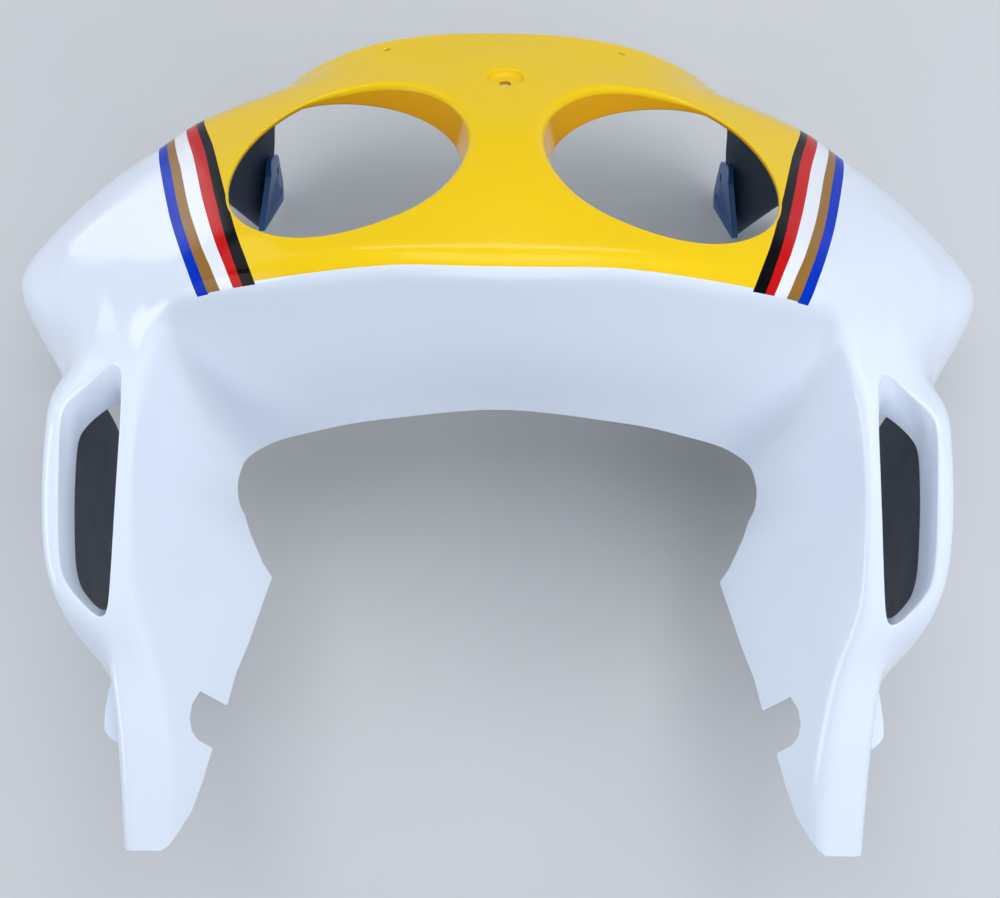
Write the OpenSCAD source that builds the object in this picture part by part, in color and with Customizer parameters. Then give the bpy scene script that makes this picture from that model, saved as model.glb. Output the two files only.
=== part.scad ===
// Upper front fairing of a sport motorcycle: one moulded shell with twin round lamp openings.
// Riding position: +Z up, the nose faces -Y, the machine's right side is +X in this front view,
// and the plane X = 0 is its plane of symmetry.

/* [Overall size] */

// Width over the two cheeks
fairing_w = 600; // [560:10:660]

// Depth from the nose lip to the tips of the rear horns
fairing_d = 316; // [296:4:340]

// Height from the feet of the legs to the top of the nose
fairing_h = 484; // [460:4:520]

// Thickness of the moulded sheet
sheet_t = 3; // [2.4:0.2:3.6]

/* [Lamp openings] */

// Radius of each lamp opening
lamp_r = 66.5; // [56:0.5:69]

// Draft angle of the wall behind each lamp opening
lamp_draft = 12; // [6:1:16]

// Depth of the wall behind the opening at its inner side
lamp_wall_depth = 24; // [14:1:28]

// Thickness of the wall behind the opening
lamp_wall_t = 2.6; // [2:0.2:3.2]

/* [Nose screw] */

// Radius of the round sunk seat of the nose screw
seat_r = 10.5; // [9:0.5:13]

// Depth of the sunk seat
seat_depth = 4; // [3:0.5:6]

// Radius of the nose screw hole
nose_hole_r = 3.2; // [2.6:0.2:4]

/* [Air ducts] */

// Height of each duct opening at its front
duct_h = 133; // [120:1:138]

// Width of each duct opening at its front
duct_w = 33; // [28:1:35]

// Depth of the throat behind each duct opening
throat_depth = 22; // [14:1:28]

/* [Fixing points] */

// Radius of the screen screw holes
screen_hole_r = 2.6; // [2:0.2:3.4]

// Radius of the two holes in each stay tab
tab_hole_r = 3.1; // [2.6:0.1:3.6]

// Spacing of the two holes in each stay tab
tab_hole_gap = 20; // [17:1:22]

// Thickness of the stay tabs
tab_t = 4; // [3:0.5:5]

// Radius of the side fastener holes
side_hole_r = 3.2; // [2.6:0.2:4]

/* [Colour films] */

// Thickness of the coloured films on the shell
film_t = 0.3; // [0.2:0.1:0.5]

/* [Hidden] */

body_white = [0.84, 0.87, 0.93];
nose_yellow = [0.93, 0.79, 0.14];
stripe_black = [0.05, 0.05, 0.06];
stripe_red = [0.80, 0.09, 0.09];
stripe_white = [0.90, 0.92, 0.96];
stripe_gold = [0.58, 0.44, 0.17];
stripe_blue = [0.02, 0.20, 0.75];

// The guide curves below are drawn for this width, depth and height and stretch with the sizes above.
drawn_size = [600, 316, 484];
stretch = [fairing_w / drawn_size[0], fairing_d / drawn_size[1], fairing_h / drawn_size[2]];

// Each guide curve has one point per station: half width, distance back from the lip, height over the lip.
// Station 0 is the centre of the nose, 2 and 3 bound the stripes, 4 is the corner of the lip,
// 6 the cheek corner, 8 to 11 the duct and 14 a little below the foot of the leg.

// Inner edge, over the wheel and down the inside of the leg
arch_edge = [[0, 128, -51], [64, 134, -56], [108, 152, -61], [135, 170, -65], [148, 183, -69],
    [157, 192, -74], [161, 198, -81], [163, 202, -88], [163, 206, -96], [161, 212, -104],
    [150, 224, -122], [141, 236, -149], [149, 230, -194], [159, 212, -250], [179, 200, -320]];

// Lip of the nose, which runs on down the front of the leg as its ridge
ridge = [[0, 0, -2], [66, 8, 2], [131, 38, 0], [167, 64, 0], [184, 80, -2],
    [192, 92, -14], [198, 99, -31], [203, 104, -48], [206, 108, -66], [208, 113, -91],
    [209, 121, -129], [208, 130, -165], [199, 144, -201], [192, 156, -245], [191, 178, -317]];

// First guide outside the ridge: low on the nose, then the leg's outer front corner
front_low = [[0, 22, 44], [73, 36, 48], [141, 50, 24], [176, 75, 22], [196, 90, 12],
    [208, 100, -5], [211, 104, -24], [216, 106, -44], [215, 109, -58], [216, 114, -88],
    [218, 122, -129], [221, 132, -169], [221, 148, -201], [217, 158, -241], [215, 180, -317]];

// Second guide: middle of the nose, the crease over the duct, then the duct's outer rim
front_mid = [[0, 48, 86], [79, 62, 86], [154, 78, 58], [188, 99, 49], [213, 114, 38],
    [233, 124, 15], [233, 124, -12], [234, 113, -37], [251, 112, -52], [256, 114, -74],
    [256, 126, -141], [245, 136, -170], [226, 166, -206], [222, 172, -244], [218, 188, -319]];

// Third guide: upper nose, the cheek, then the side of the leg
front_high = [[0, 76, 121], [84, 89, 120], [170, 118, 101], [201, 134, 86], [232, 146, 69],
    [260, 150, 39], [261, 146, 4], [251, 136, -27], [262, 150, -40], [258, 150, -85],
    [252, 160, -150], [244, 170, -185], [230, 184, -211], [224, 186, -248], [219, 196, -320]];

// Fourth guide: the shoulder that makes the outline from the front, then the side of the leg
shoulder = [[0, 101, 151], [88, 115, 146], [183, 152, 129], [212, 168, 119], [245, 180, 101],
    [279, 182, 67], [283, 166, 19], [269, 160, -13], [262, 180, -40], [258, 190, -85],
    [250, 200, -155], [242, 200, -195], [231, 204, -216], [225, 202, -251], [219, 205, -321]];

// Outer edge: screen, horn with its tip at station 3, cheek corner, then the rear edge of the leg
rear_edge = [[0, 125, 177], [93, 140, 169], [157, 260, 147], [172, 316, 116], [197, 287, 128],
    [240, 238, 114], [300, 184, 33], [281, 184, -8], [258, 210, -40], [256, 228, -80],
    [246, 238, -155], [238, 238, -200], [230, 222, -219], [225, 216, -254], [219, 214, -323]];

// Front view of the inside and foot of the leg as trimmed: half width and height
leg_trim = [[120, -90], [163.6, -95], [156, -118], [149, -136], [144, -144.5], [149, -163],
    [155, -185], [161, -205], [164.5, -224], [177, -214.5], [180.3, -222], [181.2, -230.5],
    [180, -238], [177.3, -243.5], [170.5, -249.3], [174.8, -268], [180, -285], [186, -296.5],
    [190.5, -303.5], [195, -307], [250, -307], [250, -350], [120, -350]];

// Sag of the under-lip panel, and the last station with the whole of it
panel_sag = 6;
sag_full = 4;
sag_gone = 7;

// Setback of the rounding of the lip and ridge, and its greatest share of a neighbouring span
round_set = 14;
round_share = 0.45;

// Number of steps of the surface between stations, across the inner panel, the rounding and each outer span
station_steps = [4, 4, 5, 2, 2, 3, 2, 2, 2, 2, 2, 2, 2, 2];
inner_rows = 4;
round_rows = 4;
span_rows = [3, 3, 3, 2, 2];

// Borders of the stripes as shares of the band between stations 2 and 3
stripe_borders = [0, 0.19, 0.38, 0.63, 0.81, 1];
band_start = 2;

function mix(a, b, f) = a + (b - a) * f;
function scaled(curve) = [for (p = curve) [p[0] * stretch[0], p[1] * stretch[1], p[2] * stretch[2]]];

last = len(ridge) - 1;
edge_in = scaled(arch_edge);
top_line = scaled(ridge);
sag_at = [for (i = [0:last]) i <= sag_full ? panel_sag
    : i >= sag_gone ? 0 : panel_sag * (sag_gone - i) / (sag_gone - sag_full)];
panel = [for (i = [0:last]) (edge_in[i] + top_line[i]) / 2 - [0, 0, sag_at[i]]];
guides = [edge_in, panel, top_line, scaled(front_low), scaled(front_mid), scaled(front_high),
    scaled(shoulder), scaled(rear_edge)];

// Distance between neighbouring stations, as the mean over the guide curves
function step_length(i) = let (d = [for (g = guides) norm(g[i + 1] - g[i])]) (d * [for (v = d) 1]) / len(d);
function running(steps, i = 0, sum = 0) =
    i > len(steps) ? [] : concat([sum], running(steps, i + 1, i < len(steps) ? sum + steps[i] : sum));
knots = running([for (i = [0:last - 1]) step_length(i)]);

// Slope of a curve at one of its points, from both neighbours
function slope(k, q, i) =
    i == 0 ? (q[1] - q[0]) / (k[1] - k[0])
    : i == len(k) - 1 ? (q[i] - q[i - 1]) / (k[i] - k[i - 1])
    : let (h0 = k[i] - k[i - 1], h1 = k[i + 1] - k[i])
        (h1 * (q[i] - q[i - 1]) / h0 + h0 * (q[i + 1] - q[i]) / h1) / (h0 + h1);

function curve_between(p0, p1, m0, m1, h, u) =
    (2 * u * u * u - 3 * u * u + 1) * p0 + (u * u * u - 2 * u * u + u) * h * m0
    + (3 * u * u - 2 * u * u * u) * p1 + (u * u * u - u * u) * h * m1;

// Slopes along the stations; at the centre line they run straight across
slopes = [for (g = guides) [for (i = [0:last]) let (m = slope(knots, g, i)) i == 0 ? [m[0], 0, 0] : m]];

// Point of guide g at share u between stations i and i + 1
function on_guide(g, i, u) =
    curve_between(guides[g][i], guides[g][i + 1], slopes[g][i], slopes[g][i + 1], knots[i + 1] - knots[i], u);

function unit(v) = v / norm(v);
function chords(q) = running([for (i = [0:len(q) - 2]) norm(q[i + 1] - q[i])]);

// Cross-section through the eight guide points of one column, from the inner edge to the outer edge
function section(c) =
    let (
        to_in = c[1] - c[2],
        to_out = c[3] - c[2],
        r = min(round_set, norm(to_in) * round_share, norm(to_out) * round_share),
        in_end = c[2] + unit(to_in) * r,
        out_start = c[2] + unit(to_out) * r,
        qi = [c[0], c[1], in_end],
        ki = chords(qi),
        mi = [slope(ki, qi, 0), slope(ki, qi, 1), -unit(to_in)],
        qo = [out_start, c[3], c[4], c[5], c[6], c[7]],
        ko = chords(qo),
        mo = [for (j = [0:5]) j == 0 ? unit(to_out) : slope(ko, qo, j)]
    )
    concat(
        [for (j = [0:inner_rows]) let (s = ki[2] * j / inner_rows, a = s < ki[1] ? 0 : 1, h = ki[a + 1] - ki[a])
            curve_between(qi[a], qi[a + 1], mi[a], mi[a + 1], h, (s - ki[a]) / h)],
        [for (j = [1:round_rows - 1]) let (u = j / round_rows)
            (1 - u) * (1 - u) * in_end + 2 * u * (1 - u) * c[2] + u * u * out_start],
        [for (a = [0:4], j = [0:span_rows[a] - 1]) let (h = ko[a + 1] - ko[a])
            curve_between(qo[a], qo[a + 1], mo[a], mo[a + 1], h, j / span_rows[a])],
        [c[7]]
    );

// Stations and shares of all columns of one half, from the centre line outwards
function share(i, j) = i == band_start ? stripe_borders[j] : j / station_steps[i];
columns = concat([for (i = [0:last - 1], j = [0:station_steps[i] - 1]) [i, share(i, j)]], [[last - 1, 1]]);
half = [for (c = columns) section([for (g = [0:7]) on_guide(g, c[0], c[1])])];
half_n = len(half) - 1;
rows_n = len(half[0]) - 1;

// Whole skin: column 0 is the foot of the left leg, the last column the foot of the right leg
skin = [for (i = [-half_n:half_n]) i < 0 ? [for (p = half[-i]) [-p[0], p[1], p[2]]] : half[i]];
cols_n = 2 * half_n;

// Directions square to the skin, pointing out of the shell
function clamp_i(v, top) = min(max(v, 0), top);
normals = [for (i = [0:cols_n]) [for (j = [0:rows_n])
    unit(cross(skin[clamp_i(i + 1, cols_n)][j] - skin[clamp_i(i - 1, cols_n)][j],
        skin[i][clamp_i(j + 1, rows_n)] - skin[i][clamp_i(j - 1, rows_n)]))]];

// Solid sheet over a patch of the skin, between two offsets from it along the directions above
module sheet(c0, c1, r0, r1, low, high) {
    nc = c1 - c0;
    nr = r1 - r0;
    w = nr + 1;
    side = (nc + 1) * w;
    pts = [for (f = [low, high], i = [c0:c1], j = [r0:r1]) skin[i][j] + f * normals[i][j]];
    quads = concat(
        [for (i = [0:nc - 1], j = [0:nr - 1]) [i * w + j, i * w + j + 1, (i + 1) * w + j + 1, (i + 1) * w + j]],
        [for (i = [0:nc - 1], j = [0:nr - 1]) side * [1, 1, 1, 1]
            + [i * w + j, (i + 1) * w + j, (i + 1) * w + j + 1, i * w + j + 1]],
        [for (i = [0:nc - 1]) [i * w, (i + 1) * w, side + (i + 1) * w, side + i * w]],
        [for (i = [0:nc - 1]) [(i + 1) * w + nr, i * w + nr, side + i * w + nr, side + (i + 1) * w + nr]],
        [for (j = [0:nr - 1]) [j + 1, j, side + j, side + j + 1]],
        [for (j = [0:nr - 1]) [nc * w + j, nc * w + j + 1, side + nc * w + j + 1, side + nc * w + j]]
    );
    polyhedron(points = pts, faces = [for (q = quads, k = [0, 1])
        k == 0 ? [q[0], q[2], q[1]] : [q[0], q[3], q[2]]]);
}

// Ring solid between two outlines with the same number of points
module loft(front, back) {
    n = len(front);
    polyhedron(points = concat(front, back), faces = concat(
        [for (i = [1:n - 2]) [0, i, i + 1]],
        [for (i = [1:n - 2]) [n, n + i + 1, n + i]],
        [for (i = [0:n - 1]) [i, n + i, (i + 1) % n]],
        [for (i = [0:n - 1]) [(i + 1) % n, n + i, n + (i + 1) % n]]));
}

module both_sides() {
    children();
    mirror([1, 0, 0])
    children();
}

// Lamp openings: a cone square to the nose surface, narrowing to the back
lamp_at = [91 * stretch[0], 61.6 * stretch[1], 79 * stretch[2]];
lamp_tilt = 27.4;
lamp_splay = 4.4;
lamp_reach = 60;
lamp_facets = 60;

module on_lamp_axis() {
    translate(lamp_at)
    rotate([-90 - lamp_tilt, 0, -lamp_splay])
    children();
}

// Cone of the opening, grown by a given amount, from in front of the skin to far behind it
module lamp_cone(grow) {
    on_lamp_axis()
    translate([0, 0, -lamp_reach])
    cylinder(h = 2 * lamp_reach, r1 = lamp_r + grow + lamp_reach * tan(lamp_draft),
        r2 = lamp_r + grow - lamp_reach * tan(lamp_draft), $fn = lamp_facets);
}

// The wall lies under the skin and grows out of the middle of the sheet
wall_cover = sheet_t / 2;
lamp_first = half_n;
lamp_last = half_n + station_steps[0] + station_steps[1] + 2;
lip_row = inner_rows + 2;

module lamp_wall() {
    intersection() {
        sheet(lamp_first, lamp_last, lip_row + 1, rows_n, -lamp_wall_depth, -wall_cover);
        lamp_cone(lamp_wall_t);
    }
}

// Duct opening in front view: half width and height of its corners, at the front and at the throat's back
duct_centre = [231.5 * stretch[0], -106 * stretch[2]];
duct_front = [[-0.5, 0.36], [-0.36, 0.5], [-0.02, 0.49], [0.34, 0.37], [0.49, 0.22],
    [0.5, -0.28], [0.36, -0.4], [0.04, -0.5], [-0.24, -0.51], [-0.4, -0.45]];
duct_back = [[-0.46, 0.34], [-0.3, 0.4], [-0.06, 0.4], [0.24, 0.33], [0.38, 0.2],
    [0.4, -0.26], [0.28, -0.37], [0.02, -0.46], [-0.18, -0.47], [-0.34, -0.43]];
duct_round = 0.25;

// Depth of the duct's face at a height: it leans back towards its foot
duct_lean = 0.21;
function duct_face(z) = (110 - duct_lean * (z / stretch[2] + 55)) * stretch[1];

// Outline with each corner cut off
function softened(q) = [for (i = [0:len(q) - 1], k = [-1, 1])
    mix(q[i], q[(i + len(q) + k) % len(q)], duct_round)];

function duct_ring(shape, grow, back) = [for (q = softened(shape))
    let (x = duct_centre[0] + q[0] * (duct_w + 2 * grow), z = duct_centre[1] + q[1] * (duct_h + 2 * grow))
    [x, duct_face(z) + back, z]];

throat_t = 2.4;
throat_cover = 1.8;
duct_clear = 14;

module duct_hole() {
    loft(duct_ring(duct_front, 0, -duct_clear), duct_ring(duct_front, 0, throat_cover));
    loft(duct_ring(duct_front, 0, 0), duct_ring(duct_back, 0, throat_depth + throat_cover));
}

module duct_throat() {
    loft(duct_ring(duct_front, throat_t, throat_cover), duct_ring(duct_back, throat_t, throat_depth));
}

// Nose screw seat, sunk square to the skin on the centre line
seat_at = [0, 86 * stretch[1], 133 * stretch[2]];
seat_tilt = 39;
seat_wall = 2.6;
seat_facets = 32;
hole_facets = 20;

module on_seat_axis() {
    translate(seat_at)
    rotate([-90 - seat_tilt, 0, 0])
    children();
}

module nose_seat() {
    on_seat_axis()
    translate([0, 0, wall_cover])
    cylinder(h = seat_depth + seat_wall - wall_cover, r = seat_r + seat_wall, $fn = seat_facets);
}

module nose_seat_hole() {
    on_seat_axis() {
        translate([0, 0, -seat_depth])
        cylinder(h = 2 * seat_depth, r = seat_r, $fn = seat_facets);
        cylinder(h = 3 * seat_depth, r = nose_hole_r, $fn = hole_facets);
    }
}

// Screen screw holes near the top edge, square to the skin
screen_col = half_n + 3;
screen_edge = 7;
screen_top = skin[screen_col][rows_n];
screen_hole_at = screen_top + unit(skin[screen_col][rows_n - 1] - screen_top) * screen_edge;
screen_out = normals[screen_col][rows_n - 1];

module screen_hole() {
    translate(screen_hole_at - screen_out * sheet_t / 2)
    rotate([0, acos(screen_out[2]), atan2(screen_out[1], screen_out[0])])
    cylinder(h = 8 * sheet_t, r = screen_hole_r, center = true, $fn = hole_facets);
}

// Stay tab at the free edge of the horn: an upright plate with two holes across the machine
tab_at = [159 * stretch[0], 290 * stretch[1], 140 * stretch[2]];
tab_r = 13;
tab_fall = 8;
tab_facets = 24;
tab_holes = [[-tab_hole_gap / 2, tab_fall / 2], [tab_hole_gap / 2, -tab_fall / 2]];

module across(r, h, facets) {
    rotate([0, 90, 0])
    cylinder(h = h, r = r, center = true, $fn = facets);
}

module stay_tab() {
    hull()
    for (q = tab_holes)
        translate(tab_at + [0, q[0], q[1]])
        across(tab_r, tab_t, tab_facets);
}

module stay_tab_holes() {
    for (q = tab_holes)
        translate(tab_at + [0, q[0], q[1]])
        across(tab_hole_r, 4 * tab_t, hole_facets);
}

// Lug at the outer side of the leg and the fastener hole in the leg's side
lug_shape = [[219, -200], [232, -208], [234.5, -228], [234.5, -239], [228, -246], [219, -246]];
lug_y = 186 * stretch[1];
lug_t = 4;

module upright(shape, y, depth) {
    translate([0, y + depth, 0])
    rotate([90, 0, 0])
    linear_extrude(height = depth)
    polygon([for (p = shape) [p[0] * stretch[0], p[1] * stretch[2]]]);
}

side_hole_at = [222 * stretch[0], 200 * stretch[1], -266 * stretch[2]];

module side_hole() {
    translate(side_hole_at)
    across(side_hole_r, 30, hole_facets);
}

// The frame's origin is the middle of the wall round the nose screw hole
origin_at = seat_at + (seat_depth + seat_wall / 2) * [0, cos(seat_tilt), -sin(seat_tilt)];

module place() {
    translate(-origin_at)
    children();
}

module fairing_shell() {
    color(body_white)
    place()
    difference() {
        union() {
            sheet(0, cols_n, 0, rows_n, -sheet_t, 0);
            both_sides() {
                lamp_wall();
                duct_throat();
                stay_tab();
                upright(lug_shape, lug_y, lug_t);
            }
            nose_seat();
        }
        both_sides() {
            lamp_cone(0);
            duct_hole();
            screen_hole();
            stay_tab_holes();
            side_hole();
            upright(leg_trim, 0, 1.2 * fairing_d);
        }
        nose_seat_hole();
    }
}

// Columns of the stripe borders on the right side
band_col = half_n + station_steps[0] + station_steps[1];

module yellow_panel() {
    color(nose_yellow)
    place()
    difference() {
        sheet(2 * half_n - band_col, band_col, lip_row, rows_n, 0, film_t);
        both_sides() {
            lamp_cone(0);
            screen_hole();
        }
        nose_seat_hole();
    }
}

// Stripe number n of the band, on both sides
module stripe(n, paint) {
    color(paint)
    place() {
        sheet(band_col + n, band_col + n + 1, lip_row - 1, rows_n, 0, film_t);
        sheet(2 * half_n - band_col - n - 1, 2 * half_n - band_col - n, lip_row - 1, rows_n, 0, film_t);
    }
}

module black_stripes() {
    stripe(0, stripe_black);
}

module red_stripes() {
    stripe(1, stripe_red);
}

module white_stripes() {
    stripe(2, stripe_white);
}

module gold_stripes() {
    stripe(3, stripe_gold);
}

module blue_stripes() {
    stripe(4, stripe_blue);
}

fairing_shell();
yellow_panel();
black_stripes();
red_stripes();
white_stripes();
gold_stripes();
blue_stripes();
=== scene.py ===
import math
import bpy
import numpy as np
from mathutils import Matrix, Vector, kdtree
from mathutils.geometry import delaunay_2d_cdt


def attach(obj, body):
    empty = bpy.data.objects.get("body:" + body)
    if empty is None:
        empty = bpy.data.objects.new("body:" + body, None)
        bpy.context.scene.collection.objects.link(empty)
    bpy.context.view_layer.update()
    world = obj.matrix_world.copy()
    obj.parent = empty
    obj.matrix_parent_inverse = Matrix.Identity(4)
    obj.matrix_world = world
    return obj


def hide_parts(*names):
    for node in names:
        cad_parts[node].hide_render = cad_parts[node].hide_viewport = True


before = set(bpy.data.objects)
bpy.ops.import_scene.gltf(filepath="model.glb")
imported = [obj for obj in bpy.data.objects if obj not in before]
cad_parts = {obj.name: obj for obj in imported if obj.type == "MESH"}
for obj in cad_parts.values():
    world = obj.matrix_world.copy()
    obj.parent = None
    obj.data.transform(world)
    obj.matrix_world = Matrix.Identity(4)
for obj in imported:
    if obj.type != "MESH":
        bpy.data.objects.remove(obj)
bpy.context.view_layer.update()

# Guide curves of the right half, in mm, one point per station from the middle of the nose to the foot of
# the leg: half width, distance back from the lip, height over the lip. ARCH is the sheet's inner edge,
# RIDGE the lip that runs on down the leg, REAR the edge at the screen and behind the side panel.
ARCH = [[0, 128, -51], [64, 134, -56], [85, 140, -58], [108, 152, -61], [135, 170, -65],
        [148, 183, -69], [157, 192, -74], [161, 198, -81], [163, 202, -88], [163, 206, -96],
        [161, 212, -104], [150, 224, -122], [141, 236, -149], [149, 230, -194], [159, 212, -250],
        [179, 200, -320]]
RIDGE = [[0, 0, -2], [66, 8, 2], [96, 19, 1], [131, 38, 0], [167, 64, 0],
         [184, 80, -2], [192, 92, -14], [198, 99, -31], [203, 104, -48], [206, 108, -66],
         [208, 113, -91], [209, 121, -129], [208, 130, -165], [199, 144, -201], [192, 156, -245],
         [191, 178, -317]]
LOW = [[0, 22, 44], [73, 36, 48], [105, 40, 38], [141, 50, 24], [176, 75, 22],
       [196, 90, 12], [208, 100, -5], [211, 104, -24], [216, 106, -44], [215, 109, -58],
       [216, 114, -88], [218, 122, -129], [221, 132, -169], [221, 148, -201], [217, 158, -241],
       [215, 180, -317]]
MID = [[0, 48, 86], [79, 62, 86], [115, 67, 74], [154, 78, 58], [188, 99, 49],
       [211, 110, 38], [227, 116, 16], [229, 112, -9], [243, 120, -31], [251, 112, -52],
       [256, 114, -74], [256, 126, -141], [245, 136, -170], [226, 166, -206], [222, 172, -244],
       [218, 188, -319]]
HIGH = [[0, 76, 121], [84, 89, 120], [126, 101, 113], [170, 118, 101], [201.8, 133, 86.7],
        [234, 143.5, 70.5], [262.3, 147.2, 40.2], [264, 145, 7], [259, 152, -23], [262, 150, -40],
        [258, 150, -85], [252, 160, -150], [244, 170, -185], [230, 184, -211], [224, 186, -248],
        [219, 196, -320]]
SHOULDER = [[0, 101, 151], [88, 115, 146], [130, 131, 142], [183, 152, 130.5], [212, 168, 119],
            [245, 180, 101], [279, 182, 67], [300, 184, 33], [284, 196, -5], [265, 212, -38],
            [260, 222, -84], [252, 228, -153], [243, 224, -192], [231, 216, -216], [225, 208, -251],
            [219, 208, -321]]
REAR = [[0, 125, 177], [93, 140, 170.9], [141, 178, 159.6], [158.5, 257, 148], [174, 316, 115],
        [196, 278, 137], [244, 240, 114], [293, 232, 48], [284, 230, -4], [263, 262, -36],
        [257, 303, -80], [250, 300, -150], [241, 282, -196], [230, 252, -219], [225, 234, -254],
        [219, 222, -323]]
# Front view of the leg's inner edge and foot: half width and height
TRIM = [[163.6, -95], [156, -118], [149, -136], [144, -144.5], [149, -163],
        [155, -185], [161, -205], [164.5, -224], [177, -214.5], [180.3, -222], [181.2, -230.5],
        [180, -238], [177.3, -243.5], [170.5, -249.3], [174.8, -268], [180, -285], [186, -296.5],
        [190.5, -303.5], [195, -306.6]]
FOOT = -306.6
SHEET = 3.0          # thickness of the sheet
RIDGE_REACH = 14     # how far the rounding of the ridge reaches to each side

# Rows of the grid: from the arch to the ridge, round the ridge, and over each of the five panels outside it
NI, NR, NP = 44, 14, 22
NV = NI + NR + 5 * NP
# Columns of the grid: of one half, and of both
HALF = 312
NC = 2 * HALF


def unit(a):
    return a / np.maximum(np.linalg.norm(a, axis=-1, keepdims=True), 1e-12)


def slopes(k, q):
    """Slopes at the points q (m, ..., 3) for knots k (m, ...)."""
    h = np.diff(k, axis=0)
    d = np.diff(q, axis=0) / h[..., None]
    m = np.empty_like(q)
    m[1:-1] = (h[1:, ..., None] * d[:-1] + h[:-1, ..., None] * d[1:]) / (h[1:] + h[:-1])[..., None]
    m[0], m[-1] = d[0], d[-1]
    return m


def hermite(p0, p1, m0, m1, h, u):
    """Cubic curve from p0 to p1 with the slopes m0 and m1, at the share u of its length h."""
    u2, u3 = u * u, u * u * u
    return ((2 * u3 - 3 * u2 + 1) * p0 + (u3 - 2 * u2 + u) * h * m0
            + (3 * u2 - 2 * u3) * p1 + (u3 - u2) * h * m1)


# Columns: every guide is a smooth curve through its stations
steps = np.arange(len(ARCH))
arch, ridge = np.array(ARCH, float), np.array(RIDGE, float)
# The panel under the lip sags a little, most near the nose
sag = np.interp(steps, [0, 5, 8, 15], [6, 6, 0, 0])
panel = (arch + ridge) / 2 - sag[:, None] * [0, 0, 1]
outer = [np.array(g, float) for g in (LOW, MID, HIGH, SHOULDER, REAR)]
guides = np.stack([arch, panel, ridge] + outer, 1)
knots = np.concatenate([[0], np.cumsum(np.linalg.norm(np.diff(guides, axis=0), axis=2).mean(1))])
guide_slope = slopes(np.repeat(knots[:, None], guides.shape[1], 1), guides)
guide_slope[0, :, 1:] = 0      # so that the halves join without a fold
# The rear edge leaves the nose a little more level, and is pointed at the horn's tip
REAR_GUIDE, HORN_TIP = 7, 4
guide_slope[1, REAR_GUIDE] = 0.2 * guide_slope[0, REAR_GUIDE] + 0.8 * guide_slope[1, REAR_GUIDE]
guide_slope[HORN_TIP, REAR_GUIDE] *= 0.3
along = np.linspace(0, knots[-1], HALF + 1)
span = np.clip(np.searchsorted(knots, along, side="right") - 1, 0, len(knots) - 2)
span_length = (knots[span + 1] - knots[span])[:, None, None]
cols = hermite(guides[span], guides[span + 1], guide_slope[span], guide_slope[span + 1], span_length,
               (along - knots[span])[:, None, None] / span_length)
# Share of the slope kept across MID and HIGH, where the cheek folds sharply
station = np.interp(along, knots, steps)
fold_mid = np.interp(station, [5, 6, 8, 9], [1, 0.6, 0.6, 1])
fold_high = np.interp(station, [3, 4.5, 6, 7, 8], [1, 0.3, 0.3, 0.6, 1])


def sections(c):
    """Grid of points (columns, rows, 3) from the eight guide points of every column."""
    a, b, r = c[:, 0], c[:, 1], c[:, 2]
    back, out = b - r, c[:, 3] - r
    lb, lo = np.linalg.norm(back, axis=1), np.linalg.norm(out, axis=1)
    back, out = back / lb[:, None], out / lo[:, None]
    rad = np.minimum(RIDGE_REACH, 0.45 * np.minimum(lb, lo))[:, None]
    ri, ro = r + back * rad, r + out * rad
    rows = []
    # From the arch to the ridge
    k1 = np.linalg.norm(b - a, axis=1)
    k2 = k1 + np.linalg.norm(ri - b, axis=1)
    mi = slopes(np.stack([0 * k1, k1, k2]), np.stack([a, b, ri]))
    mi[2] = -back
    for j in range(NI + 1):
        s = k2 * j / NI
        u1, u2 = (s / k1)[:, None], ((s - k1) / (k2 - k1))[:, None]
        rows.append(np.where((s < k1)[:, None], hermite(a, b, mi[0], mi[1], k1[:, None], u1),
                             hermite(b, ri, mi[1], mi[2], (k2 - k1)[:, None], u2)))
    # Round the ridge
    for j in range(1, NR):
        u = j / NR
        rows.append((1 - u) ** 2 * ri + 2 * u * (1 - u) * r + u * u * ro)
    # Over the five outer panels
    q = np.stack([ro] + [c[:, k] for k in range(3, 8)])
    h = np.linalg.norm(np.diff(q, axis=0), axis=2)
    mo = slopes(np.concatenate([0 * h[:1], np.cumsum(h, axis=0)]), q)
    mo[0] = out
    mo[2] *= fold_mid[:, None]
    mo[3] *= fold_high[:, None]
    for k in range(5):
        for j in range(NP):
            rows.append(hermite(q[k], q[k + 1], mo[k], mo[k + 1], h[k][:, None], j / NP))
    rows.append(q[5])
    return np.stack(rows, 1)


def smoothed(g, axis, sigma):
    """Gaussian smoothing that leaves the two end rows in place."""
    n = int(3 * sigma + 1)
    g = np.moveaxis(g, axis, 0)
    lo, hi = 2 * g[:1] - g[n:0:-1], 2 * g[-1:] - g[-2:-n - 2:-1]
    e = np.concatenate([lo, g, hi])
    w = np.exp(-0.5 * (np.arange(-n, n + 1) / sigma) ** 2)
    w /= w.sum()
    out = sum(w[k] * e[k:k + len(g)] for k in range(2 * n + 1))
    return np.moveaxis(out, 0, axis)


half = sections(cols)
full = np.concatenate([half[:0:-1] * [-1, 1, 1], half])
full = smoothed(smoothed(full, axis=0, sigma=2.6), axis=1, sigma=1.6)
normal_grid = unit(np.cross(np.gradient(full, axis=0), np.gradient(full, axis=1)))
normal_grid = unit(smoothed(smoothed(normal_grid, axis=0, sigma=1.0), axis=1, sigma=0.8))
# Mean sizes of the grid's cells in mm: width of a column, and distance of each row from the first
STEP = knots[-1] / HALF
row_len = np.linalg.norm(np.diff(full, axis=1), axis=2).mean(0)
row_pos = np.concatenate([[0], np.cumsum(row_len)])


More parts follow.
